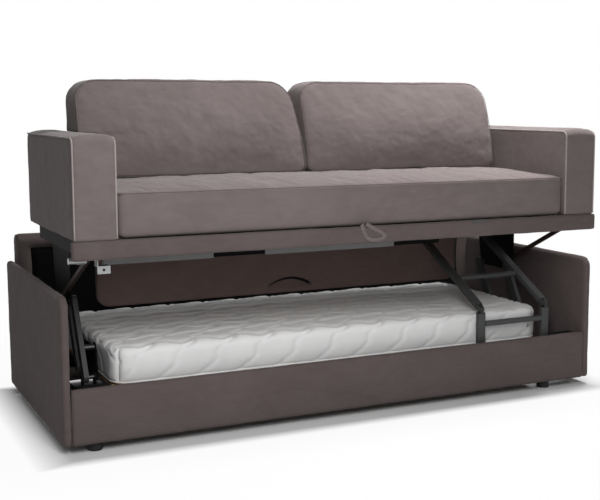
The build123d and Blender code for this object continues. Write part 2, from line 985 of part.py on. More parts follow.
def all_nodes():
    nodes = {}

    def pair(name, right):
        nodes[name + "_right"] = right
        nodes[name + "_left"] = mirrored(right)

    pair("side_panel", side_panel())
    nodes["front_panel"] = front_panel()
    nodes["rear_wall"] = rear_wall()
    nodes["rear_wall_lining"] = rear_lining()
    nodes["feet"] = feet()
    nodes["front_cross_rail"] = front_cross_rail()
    pair("corner_bracket", corner_bracket())
    pair("base_rail", base_rail())
    nodes["base_pins"] = Compound(base_pins() + [mirrored(p) for p in base_pins()])
    pair("front_link", link(0, front_layer))
    pair("rear_link", link(link_pitch, rear_layer))

    nodes["bed_frame"] = bed_frame()
    nodes["bed_slats"] = slats()
    pair("bed_bracket", bed_bracket())
    nodes["bed_pins"] = Compound(bed_pins() + [mirrored(p) for p in bed_pins()])
    nodes["mattress"] = mattress()
    nodes["mattress_vent"] = mattress_vent()
    nodes["ladder_post_left"] = ladder_post(ladder_left_x)
    nodes["ladder_post_right"] = ladder_post(ladder_right_x)
    nodes["ladder_lugs"] = Compound([post_tip(ladder_left_x), post_tip(ladder_right_x)])
    nodes["ladder_step"] = ladder_step()
    nodes["ladder_rail_left"] = ladder_rail(ladder_left_x)
    nodes["ladder_rail_right"] = ladder_rail(ladder_right_x)
    nodes["ladder_rung"] = ladder_rung()
    nodes["ladder_rollers"] = ladder_rollers()
    nodes["elbow_pins"] = elbow_pins()

    nodes["front_rail"] = front_rail()
    pair("arm", arm())
    nodes["underframe"] = underframe()
    nodes["seat_deck"] = seat_deck()
    pair("hanger", hanger())
    nodes["hanger_pins"] = Compound(hanger_pins() + [mirrored(p) for p in hanger_pins()])
    nodes["front_beam_left"] = beam(beam_left_a, beam_left_b, beam_bottom)
    nodes["front_beam_middle"] = beam(beam_mid_a, beam_mid_b, beam_bottom)
    nodes["front_beam_right"] = beam(beam_right_a, beam_right_b, beam_bottom_high)
    nodes["beam_joiners"] = beam_joiners()
    nodes["beam_angle"] = beam_angle()
    pair("brace", brace())
    nodes["brace_bolts"] = brace_bolts()
    nodes["ladder_guides"] = ladder_guides()
    nodes["bright_fitting"] = bright_fitting()
    nodes["back_frame"] = back_frame()
    nodes["board_guides"] = board_guides()
    seat = seat_cushion()
    nodes["seat_cushion"] = seat
    nodes["back_cushion_left"] = back_cushion(-1, seat)
    nodes["back_cushion_right"] = back_cushion(1, seat)
    nodes["pull_strap"] = pull_strap()
    nodes["zip_pull"] = zip_pull()
    nodes["slot_board"] = slot_board()
    return nodes


os.makedirs("parts", exist_ok=True)
for name, shape in all_nodes().items():
    export_step(Pos(0, shift_y, 0) * shape, "parts/" + name + ".step")
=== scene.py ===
import json
import math
import bpy
import bmesh
from mathutils import Matrix, Vector, noise
from mathutils.kdtree import KDTree


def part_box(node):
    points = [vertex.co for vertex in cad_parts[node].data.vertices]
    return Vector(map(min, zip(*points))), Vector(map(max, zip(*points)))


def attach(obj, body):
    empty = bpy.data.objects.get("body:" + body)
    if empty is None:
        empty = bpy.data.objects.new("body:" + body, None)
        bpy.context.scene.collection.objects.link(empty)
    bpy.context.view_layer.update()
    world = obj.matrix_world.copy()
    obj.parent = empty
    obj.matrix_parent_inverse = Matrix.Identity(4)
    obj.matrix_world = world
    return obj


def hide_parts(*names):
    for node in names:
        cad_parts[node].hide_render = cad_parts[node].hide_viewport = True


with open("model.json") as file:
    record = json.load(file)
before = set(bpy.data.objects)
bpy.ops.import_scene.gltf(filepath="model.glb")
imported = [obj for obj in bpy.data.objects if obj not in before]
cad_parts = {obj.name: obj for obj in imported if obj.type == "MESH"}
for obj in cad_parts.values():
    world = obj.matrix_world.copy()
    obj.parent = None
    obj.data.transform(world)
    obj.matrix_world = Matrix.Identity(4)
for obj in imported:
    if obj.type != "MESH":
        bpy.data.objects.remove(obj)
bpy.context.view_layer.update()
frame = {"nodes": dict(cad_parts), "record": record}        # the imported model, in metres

scene = bpy.context.scene
nodes = frame["nodes"]
print("stage: frame loaded, pieces in it:", len(nodes))


# camera

view = {
    "place": (-1.892, -4.123, 1.185),
    "turn": (82.85, 0.0, -26.72),
    "lens": 66.16,
    "shift": (-0.075, -0.012),
}


def makeCamera():
    data = bpy.data.cameras.new("photoCamera")
    data.sensor_width = 36.0
    data.lens = view["lens"]
    data.shift_x, data.shift_y = view["shift"]
    data.clip_end = 60.0
    camera = bpy.data.objects.new("photoCamera", data)
    camera.location = view["place"]
    camera.rotation_euler = [math.radians(a) for a in view["turn"]]
    scene.collection.objects.link(camera)
    scene.camera = camera


makeCamera()


class Sock:
    # one output socket of a material, with maths on it
    def __init__(self, tree, out=None):
        self.tree = tree
        self.out = out

    def node(self, kind, settings=None, inputs=None, pick=0):
        made = self.tree.nodes.new(kind)
        for key, value in (settings or {}).items():
            setattr(made, key, value)
        for key, value in (inputs or {}).items():
            target = made.inputs[key]
            if isinstance(value, Sock):
                self.tree.links.new(value.out, target)
            else:
                target.default_value = value
        return Sock(self.tree, made.outputs[pick])

    def maths(self, operation, *terms, clamp=False):
        settings = {"operation": operation, "use_clamp": clamp}
        return self.node("ShaderNodeMath", settings, dict(enumerate(terms)))

    def __add__(self, other):
        return self.maths("ADD", self, other)

    __radd__ = __add__

    def __sub__(self, other):
        return self.maths("SUBTRACT", self, other)

    def __rsub__(self, other):
        return self.maths("SUBTRACT", other, self)

    def __mul__(self, other):
        return self.maths("MULTIPLY", self, other)

    __rmul__ = __mul__

    def __truediv__(self, other):
        return self.maths("DIVIDE", self, other)

    def clamped(self):
        return self.maths("ADD", self, 0.0, clamp=True)


def linear(tone):
    # a written colour, 0 to 255, as the shader wants it
    shares = [c / 255 for c in tone]
    return tuple(c / 12.92 if c < 0.04045 else ((c + 0.055) / 1.055) ** 2.4 for c in shares)


def startMaterial(name):
    material = bpy.data.materials.new(name)
    material.use_nodes = True
    tree = material.node_tree
    tree.nodes.clear()
    start = Sock(tree)
    place = start.node("ShaderNodeTexCoord", pick="Object")
    return material, start, place


def stretched(start, place, scale):
    return start.node("ShaderNodeMapping", {}, {"Vector": place, "Scale": scale})


def noisy(start, place, scale, detail=3.0, rough=0.5, distortion=0.0):
    inputs = {"Vector": place, "Scale": scale, "Detail": detail, "Roughness": rough, "Distortion": distortion}
    return start.node("ShaderNodeTexNoise", {}, inputs)


def blended(start, share, low, high):
    inputs = {0: share, 6: (*low, 1.0), 7: (*high, 1.0)}
    return start.node("ShaderNodeMix", {"data_type": "RGBA"}, inputs, pick=2)


def endMaterial(material, fixed, varying):
    tree = material.node_tree
    shader = tree.nodes.new("ShaderNodeBsdfPrincipled")
    for key, value in fixed.items():
        shader.inputs[key].default_value = value
    for key, value in varying.items():
        tree.links.new(value.out, shader.inputs[key])
    out = tree.nodes.new("ShaderNodeOutputMaterial")
    tree.links.new(shader.outputs[0], out.inputs[0])
    return material


def bumped(start, height, strength, distance):
    return start.node("ShaderNodeBump", {}, {"Height": height, "Strength": strength, "Distance": distance})


def velvetFinish(name, deep, pale, sheen):
    # short-pile velvet: cloudy nap, brushed patches, fine weave and shallow handling creases
    material, start, place = startMaterial(name)
    cloud = noisy(start, place, 3.4, 5.0, 0.62, 0.9)
    patch = noisy(start, stretched(start, place, (1.0, 1.6, 2.6)), 8.0, 4.0, 0.6, 1.4)
    streak = noisy(start, stretched(start, place, (2.0, 9.0, 9.0)), 5.0, 4.0, 0.65)
    pile = noisy(start, place, 620.0, 2.0, 0.5)
    crease = noisy(start, stretched(start, place, (1.0, 1.0, 2.2)), 16.0, 5.0, 0.62, 1.2)
    tone = (cloud * 0.55 + patch * 0.5 + streak * 0.2 + pile * 0.3 - 0.28).clamped()
    colour = blended(start, tone, linear(deep), linear(pale))
    height = pile * 0.3 + crease * 0.5 + patch * 0.35
    rough = 0.78 + cloud * 0.16
    fixed = {"Sheen Weight": sheen, "Sheen Roughness": 0.4, "Specular IOR Level": 0.06}
    varying = {"Base Color": colour, "Roughness": rough, "Normal": bumped(start, height, 0.4, 0.004)}
    return endMaterial(material, fixed, varying)


def quiltFinish(name, deep, pale):
    # the mattress's smooth knitted cover; its stitching is in the mesh
    material, start, place = startMaterial(name)
    weave = noisy(start, stretched(start, place, (1.0, 2.0, 1.0)), 700.0, 2.0)
    soft = noisy(start, place, 9.0, 3.0, 0.55)
    colour = blended(start, (soft * 0.7 + weave * 0.3).clamped(), linear(deep), linear(pale))
    normal = bumped(start, weave * 0.4 + soft * 0.6, 0.25, 0.003)
    fixed = {"Sheen Weight": 0.15, "Specular IOR Level": 0.3}
    varying = {"Base Color": colour, "Roughness": 0.72 + soft * 0.15, "Normal": normal}
    return endMaterial(material, fixed, varying)


def coatedFinish(name, deep, pale, rough, gloss):
    # powder-coated steel: fine orange peel, dust and rubbed places
    material, start, place = startMaterial(name)
    peel = noisy(start, place, 420.0, 2.0, 0.5)
    rubbed = noisy(start, place, 22.0, 5.0, 0.65, 0.4)
    colour = blended(start, (rubbed * 0.75 + peel * 0.25).clamped(), linear(deep), linear(pale))
    fixed = {"Specular IOR Level": gloss}
    varying = {
        "Base Color": colour,
        "Roughness": rough - 0.08 + rubbed * 0.16,
        "Normal": bumped(start, peel * 0.7 + rubbed * 0.3, 0.15, 0.0008),
    }
    return endMaterial(material, fixed, varying)


def platedFinish(name, deep, pale):
    # zinc plating: brushed along X, with a faint spangle
    material, start, place = startMaterial(name)
    brush = noisy(start, stretched(start, place, (6.0, 90.0, 90.0)), 12.0, 4.0, 0.6)
    spangle = start.node("ShaderNodeTexVoronoi", {}, {"Vector": place, "Scale": 160.0})
    colour = blended(start, (brush * 0.7 + spangle * 0.3).clamped(), linear(deep), linear(pale))
    varying = {
        "Base Color": colour,
        "Roughness": 0.34 + brush * 0.22,
        "Normal": bumped(start, brush, 0.08, 0.0006),
    }
    return endMaterial(material, {"Metallic": 1.0}, varying)


def woodFinish(name, deep, pale, along):
    # plain wood with its grain and pores drawn out along the piece
    material, start, place = startMaterial(name)
    grain = noisy(start, stretched(start, place, along), 14.0, 6.0, 0.6, 0.6)
    pore = noisy(start, stretched(start, place, tuple(a * 4 for a in along)), 40.0, 2.0)
    colour = blended(start, (grain * 0.75 + pore * 0.25).clamped(), linear(deep), linear(pale))
    varying = {
        "Base Color": colour,
        "Roughness": 0.45 + grain * 0.2,
        "Normal": bumped(start, grain * 0.5 + pore * 0.5, 0.2, 0.0008),
    }
    return endMaterial(material, {}, varying)


def mouldedFinish(name, deep, pale, rough):
    # moulded plastic or rubber: fine grain and scuffs
    material, start, place = startMaterial(name)
    grain = noisy(start, place, 260.0, 3.0)
    scuff = noisy(start, place, 18.0, 4.0, 0.7)
    colour = blended(start, (grain * 0.4 + scuff * 0.6).clamped(), linear(deep), linear(pale))
    varying = {
        "Base Color": colour,
        "Roughness": rough + scuff * 0.12,
        "Normal": bumped(start, grain, 0.2, 0.0006),
    }
    return endMaterial(material, {"Specular IOR Level": 0.4}, varying)


finishes = {
    "velvet": velvetFinish("taupeVelvet", (97, 87, 86), (131, 121, 120), 0.2),
    # a darker copy of the taupe velvet: painted shade for the base panels, the front rail and the rear wall,
    # which are the same velvet lying lower and turned from the light
    "panel": velvetFinish("panelVelvetPaintedShade", (82, 72, 71), (109, 99, 98), 0.12),
    # a paler copy of the velvet for the arms' piping: a painted highlight where light catches the rounded
    # welts
    "piping": velvetFinish("pipingVelvetPaintedHighlight", (142, 132, 130), (172, 162, 160), 0.3),
    # the board's velvet: a browner tone of its own, made lighter with painted light because the board sits in
    # shade under the sofa
    "board": velvetFinish("boardVelvetPaintedLight", (112, 95, 92), (140, 122, 118), 0.12),
    "lining": velvetFinish("blackLining", (14, 13, 13), (26, 25, 25), 0.05),
    "quilt": quiltFinish("whiteQuilt", (226, 226, 226), (244, 244, 243)),
    "dark_steel": coatedFinish("darkSteel", (46, 47, 48), (72, 73, 73), 0.5, 0.3),
    "black_steel": coatedFinish("blackSteel", (12, 12, 12), (24, 24, 24), 0.7, 0.06),
    "grey_steel": coatedFinish("greySteel", (112, 114, 114), (138, 140, 139), 0.5, 0.3),
    "brown_steel": coatedFinish("brownSteel", (38, 28, 26), (58, 46, 42), 0.6, 0.12),
    # the plating is darkened with painted shade, to how the fittings look in the shade under the sofa
    "zinc": platedFinish("zincWithPaintedShade", (128, 130, 131), (182, 183, 182)),
    "pin": platedFinish("darkZinc", (62, 63, 64), (96, 97, 97)),
    "wood_slat": woodFinish("birchSlat", (176, 144, 100), (208, 180, 136), (8.0, 1.0, 8.0)),
    "panel_board": woodFinish("plainBoard", (118, 94, 66), (150, 124, 90), (1.0, 8.0, 8.0)),
    "black_plastic": mouldedFinish("blackPlastic", (12, 12, 12), (26, 26, 26), 0.45),
    "rubber_foot": mouldedFinish("footRubber", (12, 12, 12), (30, 30, 30), 0.7),
}

slotOf = {part["node"]: part["material_slot"] for part in frame["record"]["subparts"]}
for name, item in nodes.items():
    # the pins, the bolts and the zip's pull get a darker plated finish than the other plated pieces
    finish = "pin" if name.endswith(("_pins", "_bolts", "_pull")) else slotOf[name]
    item.data.materials.clear()
    item.data.materials.append(finishes[finish])
print("stage: finishes made:", len(finishes))


# helpers for new pieces

def gridBox(low, high, step):
    # a box cut into cells of about one step on every face
    bm = bmesh.new()
    bmesh.ops.create_cube(bm, size=1.0)
    size = Vector(high) - Vector(low)
    middle = (Vector(high) + Vector(low)) / 2
    bmesh.ops.transform(bm, matrix=Matrix.Translation(middle) @ Matrix.Diagonal((*size, 1.0)), verts=bm.verts)
    for axis in range(3):
        cuts = max(1, round(size[axis] / step) - 1)
        lines = [e for e in bm.edges if abs(abs((e.verts[0].co - e.verts[1].co)[axis]) - size[axis]) < 1e-6]
        bmesh.ops.subdivide_edges(bm, edges=lines, cuts=cuts, use_grid_fill=True)
    return bm


def eased(value):
    value = min(1.0, max(0.0, value))
    return value * value * (3 - 2 * value)


def roundBox(bm, low, high, radius):
    # rounds the box's edges by drawing its skin onto a smaller box grown by the radius
    reach = Vector((radius, radius, radius))
    inner = [(low[i] + reach[i], high[i] - reach[i]) for i in range(3)]
    for v in bm.verts:
        core = Vector([min(max(v.co[i], inner[i][0]), inner[i][1]) for i in range(3)])
        out = v.co - core
        share = Vector([out[i] / reach[i] for i in range(3)])
        if share.length > 1e-9:
            share = share.normalized() * max(abs(c) for c in share)
            v.co = core + Vector([share[i] * reach[i] for i in range(3)])


def crumple(bm, amount, scale, seed):
    # small handling folds; noise is read from the place, so each run gives the same
    bm.normal_update()
    offset = Vector((seed * 3.1, seed * 1.7, seed * 2.3))
    for v in bm.verts:
        push = noise.fractal(v.co * scale + offset, 0.6, 2.0, 4)
        v.co += v.normal * push * amount


def turnCorner(v, first, second, edges, ways):
    # moves a point of a square corner onto a round one, in the plane of two axes; edges is the round's middle
    a = (v.co[first] - edges[0]) * ways[0]
    b = (v.co[second] - edges[1]) * ways[1]
    if a > 0 and b > 0:
        reach, length = max(a, b), math.hypot(a, b)
        v.co[first] = edges[0] + ways[0] * a * reach / length
        v.co[second] = edges[1] + ways[1] * b * reach / length


def applyModifiers(item):
    # gives the piece the mesh that its modifiers make, and takes them off
    bpy.context.view_layer.update()
    depsgraph = bpy.context.evaluated_depsgraph_get()
    made = bpy.data.meshes.new_from_object(item.evaluated_get(depsgraph), depsgraph=depsgraph)
    old = item.data
    item.modifiers.clear()
    item.data = made
    made.name = old.name + "Done"
    bpy.data.meshes.remove(old)


clothSteps = 4


def filled(name, bm, form, seams):
    # remeshes a cover, lets it swell as cloth under air with its seams held, and smooths it
    mesh = bpy.data.meshes.new(name)
    bm.to_mesh(mesh)
    bm.free()
    item = bpy.data.objects.new(name, mesh)
    scene.collection.objects.link(item)
    remesh = item.modifiers.new("even", "REMESH")
    remesh.mode = "VOXEL"
    remesh.voxel_size = form["voxel"]
    applyModifiers(item)
    tree = KDTree(len(seams))
    for index, spot in enumerate(seams):
        tree.insert(spot, index)
    tree.balance()
    sewn = item.vertex_groups.new(name="sewn")
    for v in item.data.vertices:
        if tree.find(v.co)[2] < form["sewn"]:
            sewn.add([v.index], 1.0, "REPLACE")
    before = [v.co.copy() for v in item.data.vertices]
    cloth = item.modifiers.new("fill", "CLOTH")
    cloth.point_cache.frame_start = 1
    cloth.point_cache.frame_end = form["frames"]
    cloth.settings.quality = clothSteps
    cloth.settings.use_pressure = True
    cloth.settings.uniform_pressure_force = form["pressure"]
    cloth.settings.vertex_group_mass = "sewn"
    cloth.settings.effector_weights.gravity = 0.0
    for number in range(1, form["frames"] + 1):
        scene.frame_set(number)
    applyModifiers(item)
    scene.frame_set(1)
    item.vertex_groups.clear()
    for v, start in zip(item.data.vertices, before):
        move = v.co - start
        if move.length > form["cap"]:
            move *= form["cap"] / move.length
        v.co = start + move
    smooth = item.modifiers.new("smooth", "SUBSURF")
    smooth.levels = 1
    smooth.render_levels = 1
    applyModifiers(item)
    bm = bmesh.new()
    bm.from_mesh(item.data)
    bpy.data.meshes.remove(item.data)        # its object goes with it
    return bm


def addPiece(name, bm, finish, body):
    # makes the object, with its finish and its body
    bmesh.ops.recalc_face_normals(bm, faces=bm.faces)
    mesh = bpy.data.meshes.new(name)
    bm.to_mesh(mesh)
    bm.free()
    mesh.materials.append(finishes[finish])
    for face in mesh.polygons:
        face.use_smooth = True
    item = bpy.data.objects.new(name, mesh)
    scene.collection.objects.link(item)
    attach(item, body)
    return item


def addPipe(name, points, radius, finish, body, closed=True):
    # a round welt or cord sewn along a line of points
    line = bpy.data.curves.new(name, "CURVE")
    line.dimensions = "3D"
    line.bevel_depth = radius
    line.bevel_resolution = 2
    line.use_fill_caps = not closed
    spline = line.splines.new("POLY")
    spline.points.add(len(points) - 1)
    for spot, place in zip(spline.points, points):
        spot.co = (*place, 1.0)
    spline.use_cyclic_u = closed
    holder = bpy.data.objects.new(name + "Line", line)
    scene.collection.objects.link(holder)
    bpy.context.view_layer.update()
    depsgraph = bpy.context.evaluated_depsgraph_get()
    mesh = bpy.data.meshes.new_from_object(holder.evaluated_get(depsgraph))
    bpy.data.objects.remove(holder)
    bm = bmesh.new()
    bm.from_mesh(mesh)
    bpy.data.meshes.remove(mesh)
    bmesh.ops.remove_doubles(bm, verts=bm.verts, dist=1e-6)
    return addPiece(name, bm, finish, body)


def roundedLoop(left, right, low, high, corner, foot=None, steps=6):
    # points round a rectangle with round corners, as pairs; foot is the radius of the two low corners
    spots = []
    foot = corner if foot is None else foot
    for cx, cy, start, size in (
        (right - corner, high - corner, 0, corner), (left + corner, high - corner, 90, corner),
        (left + foot, low + foot, 180, foot), (right - foot, low + foot, 270, foot),
    ):
        for i in range(steps + 1):
            angle = math.radians(start + 90 * i / steps)
            spots.append((cx + size * math.cos(angle), cy + size * math.sin(angle)))
    return spots


def densified(points, gap, closed=True):
    # puts more points on a line, so that no two are much more than a gap apart
    result = []
    count = len(points)
    for i in range(count if closed else count - 1):
        a, b = Vector(points[i]), Vector(points[(i + 1) % count])
        parts = max(1, int((b - a).length / gap))
        result += [a.lerp(b, k / parts) for k in range(parts)]
    if not closed:
        result.append(Vector(points[-1]))
    return result


# arms

armForm = {
    "step": 0.011, "edge": 0.006, "nose": 0.026, "crown": 0.011, "side": 0.004, "ends": 0.05,
    "fold": 0.0018, "foldScale": 7.0, "pucker": 0.0013, "puckers": 210, "puckerRun": 0.08,
    "pipe": 0.0031, "pipeIn": 0.0015, "pipeSunk": 0.002, "pipeRear": 0.012, "pipeFoot": 0.004, "fill": 0.85,
}


def makeArm(side):
    # a band over the top and down the front, joined to flat sides by piping
    node = "arm_" + side
    low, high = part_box(node)
    high.z -= armForm["crown"]
    bm = gridBox(low, high, armForm["step"])
    roundBox(bm, low, high, armForm["edge"])
    middle = (low + high) / 2
    half = (high - low) / 2
    nose = armForm["nose"]
    for v in bm.verts:
        turnCorner(v, 1, 2, (low.y + nose, high.z - nose), (-1, 1))
        turnCorner(v, 1, 2, (high.y - nose, high.z - nose), (1, 1))
        u = (v.co.x - middle.x) / half.x
        w = (v.co.z - middle.z) / half.z
        along = (v.co.y - low.y) / (high.y - low.y)
        ends = eased(along / armForm["ends"]) * eased((1 - along) / armForm["ends"])
        top = eased((w - 0.6) / 0.4)
        v.co.z += armForm["crown"] * top * (1 - min(1.0, abs(u)) ** 2.2) * (0.5 + 0.5 * ends)
        v.co.x += math.copysign(armForm["side"], u) * abs(u) * (1 - w * w) * ends * 0.8
    crumple(bm, armForm["fold"], armForm["foldScale"], 1 if side == "left" else 2)
    for v in bm.verts:       # the band is gathered a little at the top of the front
        pull = max(0.0, 1 - (v.co.y - low.y) / armForm["puckerRun"]) * eased((v.co.z - middle.z) / half.z)
        wave = math.sin(v.co.x * armForm["puckers"] + 4 * noise.noise(v.co * 9))
        v.co.z += wave * armForm["pucker"] * pull
    arm = addPiece("arm" + side.title(), bm, "velvet", "sofa")
    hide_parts(node)
    sunk = armForm["pipeSunk"]
    angles = [math.radians(15 * i) for i in range(7)]
    corner = [(low.y + nose - nose * math.sin(a), high.z - nose + nose * math.cos(a)) for a in angles]
    for label, x in (("Left", low.x + armForm["pipeIn"]), ("Right", high.x - armForm["pipeIn"])):
        line = [(x, high.y - armForm["pipeRear"], high.z - sunk)]
        line += [(x, y + sunk, z - sunk) for y, z in corner]
        line.append((x, low.y + sunk, low.z + armForm["pipeFoot"]))
        name = "arm" + side.title() + "Piping" + label
        spots = densified(line, 0.03, False)
        # the piping's paler finish is a painted highlight
        addPipe(name, spots, armForm["pipe"], "piping", "sofa", closed=False)


for side in ("left", "right"):
    makeArm(side)
print("stage: arms")


# fabric-covered panels, rail and wall

sideForm = {"body": "base", "radius": 0.012, "step": 0.014, "nose": 0.042}
panelForms = [
    {"node": "side_panel_left", "name": "sidePanelLeft", **sideForm},
    {"node": "side_panel_right", "name": "sidePanelRight", **sideForm},
    {"node": "front_panel", "name": "frontPanel", "body": "base", "radius": 0.009, "step": 0.014},
    {"node": "front_rail", "name": "frontRail", "body": "sofa", "radius": 0.008, "step": 0.011},
]
panelCloth = {"fold": 0.0012, "foldScale": 7.0, "fill": 0.95}


def makePanel(form, seed):
    low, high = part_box(form["node"])
    bm = gridBox(low, high, form["step"])
    roundBox(bm, low, high, form["radius"])
    if "nose" in form:
        nose = form["nose"]
        for v in bm.verts:       # the top front corner is round
            turnCorner(v, 1, 2, (low.y + nose, high.z - nose), (-1, 1))
    crumple(bm, panelCloth["fold"], panelCloth["foldScale"], seed)
    # the panel finish is the velvet darkened with painted shade
    piece = addPiece(form["name"], bm, "panel", form["body"])
    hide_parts(form["node"])


for index, form in enumerate(panelForms):
    makePanel(form, 5 + index)


wallForm = {
    "step": 0.016, "edge": 0.014, "roll": 0.034, "border": 0.05, "skin": 0.006,
    "recess": 0.012, "slope": 0.02, "lap": 0.001, "fold": 0.002, "foldScale": 5.0, "fill": 0.8,
}
liningForm = {"inset": 0.004, "behind": 0.002, "step": 0.03, "fold": 0.0012, "foldScale": 6.0}


def makeRearWall():
    low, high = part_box("rear_wall")
    bm = gridBox(low, high, wallForm["step"])
    roundBox(bm, low, high, wallForm["edge"])
    roll = wallForm["roll"]
    for v in bm.verts:       # a fuller roll along the top
        turnCorner(v, 1, 2, (low.y + roll, high.z - roll), (-1, 1))
        turnCorner(v, 1, 2, (high.y - roll, high.z - roll), (1, 1))
    border = wallForm["border"]
    for v in bm.verts:       # the lining lies in a shallow recess
        inside = min(
            v.co.x - low.x - border, high.x - border - v.co.x,
            v.co.z - low.z - border, high.z - border - v.co.z,
        )
        if v.co.y < low.y + wallForm["skin"] and inside > 0:
            v.co.y += wallForm["recess"] * eased(inside / wallForm["slope"]) + wallForm["lap"]
    crumple(bm, wallForm["fold"], wallForm["foldScale"], 11)
    # the panel finish is the velvet darkened with painted shade
    wall = addPiece("rearWall", bm, "panel", "base")
    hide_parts("rear_wall")


def makeLining():
    low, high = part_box("rear_wall_lining")
    inset = liningForm["inset"]
    lowest = low + Vector((inset, 0, inset))
    highest = high - Vector((inset, liningForm["behind"], inset))
    bm = gridBox(lowest, highest, liningForm["step"])
    crumple(bm, liningForm["fold"], liningForm["foldScale"], 12)
    lining = addPiece("wallLining", bm, "lining", "base")
    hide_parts("rear_wall_lining")


makeRearWall()
makeLining()


lowBackForm = {
    "rear": {"thick": 0.026, "edge": 0.009, "step": 0.016, "fold": 0.0014, "foldScale": 6.0},
    "top": {"thick": 0.016, "edge": 0.006, "step": 0.016, "behind": 0.024},
    "front": {"thick": 0.014, "edge": 0.004, "step": 0.02, "open": 0.074, "above": 0.014},
    "fill": 0.9,
}


def makeLowBack():
    # the sofa's low back: a cover over the frame, open below for the sliding board
    low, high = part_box("back_frame")
    rear, top, front = (lowBackForm[part] for part in ("rear", "top", "front"))
    covers = {
        "backRear": (rear, (low.x, high.y - rear["thick"], low.z), (high.x, high.y, high.z)),
        "backTop": (top, (low.x, low.y, high.z - top["thick"]), (high.x, high.y - top["behind"], high.z)),
        "backFront": (
            front, (low.x, low.y, low.z + front["open"]),
            (high.x, low.y + front["thick"], high.z - front["above"]),
        ),
    }
    for name, (form, least, most) in covers.items():
        bm = gridBox(least, most, form["step"])
        roundBox(bm, least, most, form["edge"])
        if "fold" in form:
            crumple(bm, form["fold"], form["foldScale"], 14)
        piece = addPiece(name, bm, "velvet", "sofa")
    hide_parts("back_frame")


makeLowBack()
print("stage: panels, rail and wall")


# board with the hand slot

boardForm = {
    "step": 0.0085, "edge": 0.009, "corner": 0.05, "inset": 0.0003, "fill": 0.9,
    "fold": 0.0012, "foldScale": 8.0,
    "slotHalf": 0.1, "slotLow": 0.409, "slotTall": 0.013, "slotStep": 0.008, "rise": 0.03, "through": 0.03,
    "pocket": 0.013, "pocketDrop": 0.006, "pocketOver": 0.012, "pocketLeast": 0.003, "skin": 0.004,
}


def slotCutter(low, high):
    # an arched bar that goes right through the board
    half, through = boardForm["slotHalf"], boardForm["through"]
    least = (-half, low.y - through, 0.0)
    most = (half, high.y + through, boardForm["slotTall"])
    bm = gridBox(least, most, boardForm["slotStep"])
    for v in bm.verts:
        v.co.z += boardForm["slotLow"] + boardForm["rise"] * (1 - (v.co.x / half) ** 2)
    bmesh.ops.recalc_face_normals(bm, faces=bm.faces)
    mesh = bpy.data.meshes.new("slotCutter")
    bm.to_mesh(mesh)
    bm.free()
    cutter = bpy.data.objects.new("slotCutter", mesh)
    scene.collection.objects.link(cutter)
    return cutter


def makeBoard():
    low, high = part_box("slot_board")
    bm = gridBox(low, high, boardForm["step"])
    roundBox(bm, low, high, boardForm["edge"])
    corner, skin = boardForm["corner"], boardForm["skin"]
    for v in bm.verts:
        turnCorner(v, 0, 2, (low.x + corner, low.z + corner), (-1, -1))
        turnCorner(v, 0, 2, (high.x - corner, low.z + corner), (1, -1))
        # the cover dips behind the fingers
        arc = boardForm["rise"] * (1 - (v.co.x / boardForm["slotHalf"]) ** 2)
        height = v.co.z - boardForm["slotLow"] + boardForm["pocketDrop"]
        inArc = arc > boardForm["pocketLeast"] and 0 < height < arc + boardForm["pocketOver"]
        if v.co.y < low.y + skin and inArc:
            v.co.y += boardForm["pocket"] * min(1.0, height / (arc + skin))
    crumple(bm, boardForm["fold"], boardForm["foldScale"], 17)
    inset = boardForm["inset"]
    for v in bm.verts:       # it runs between its guides, so no crease stands out
        v.co = [min(max(v.co[i], low[i] + inset), high[i] - inset) for i in range(3)]
    # its finish is brightened with painted light
    board = addPiece("slotBoard", bm, "board", "board")
    cutter = slotCutter(low, high)
    step = board.modifiers.new("slot", "BOOLEAN")
    step.operation = "DIFFERENCE"
    step.object = cutter
    step.solver = "EXACT"
    applyModifiers(board)
    bpy.data.objects.remove(cutter)
    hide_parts("slot_board")


makeBoard()
print("stage: board")


# mattress

mattressForm = {
    "step": 0.0066, "edge": 0.03, "corner": 0.07, "crown": 0.009, "rear": 0.012,
    "pressed": 0.8, "ladder": 0.42, "ladderRun": 0.16, "fold": 0.0018, "foldScale": 6.0, "fill": 0.9,
    "across": 0.156, "down": 0.088, "wave": 0.013, "slant": 0.85, "bow": 0.012, "groove": 0.021, "pinch": 1.6,
    "depth": 0.0072, "sideDepth": 0.7, "puff": 0.1, "plain": 0.03,
    "pipe": 0.004, "pipeIn": 0.004, "pipeHeight": 0.012,
}


def quiltDepth(u, v, rowShare):
    # how deep the stitching pulls here: wavy rows, crossed by slanting bowed lines
    form = mattressForm
    rows = (v - form["wave"] * math.sin(2 * math.pi * u / form["across"])) / form["down"]
    slants = (u - form["slant"] * v + form["bow"] * math.sin(2 * math.pi * v / form["down"])) / form["across"]
    rowReach = abs(rows - round(rows)) * form["down"] / form["groove"]
    slantReach = abs(slants - round(slants)) * form["across"] / form["groove"]
    rowPull = (1 - min(1.0, rowReach)) ** form["pinch"] * rowShare
    slantPull = (1 - min(1.0, slantReach)) ** form["pinch"]
    return max(rowPull, slantPull)


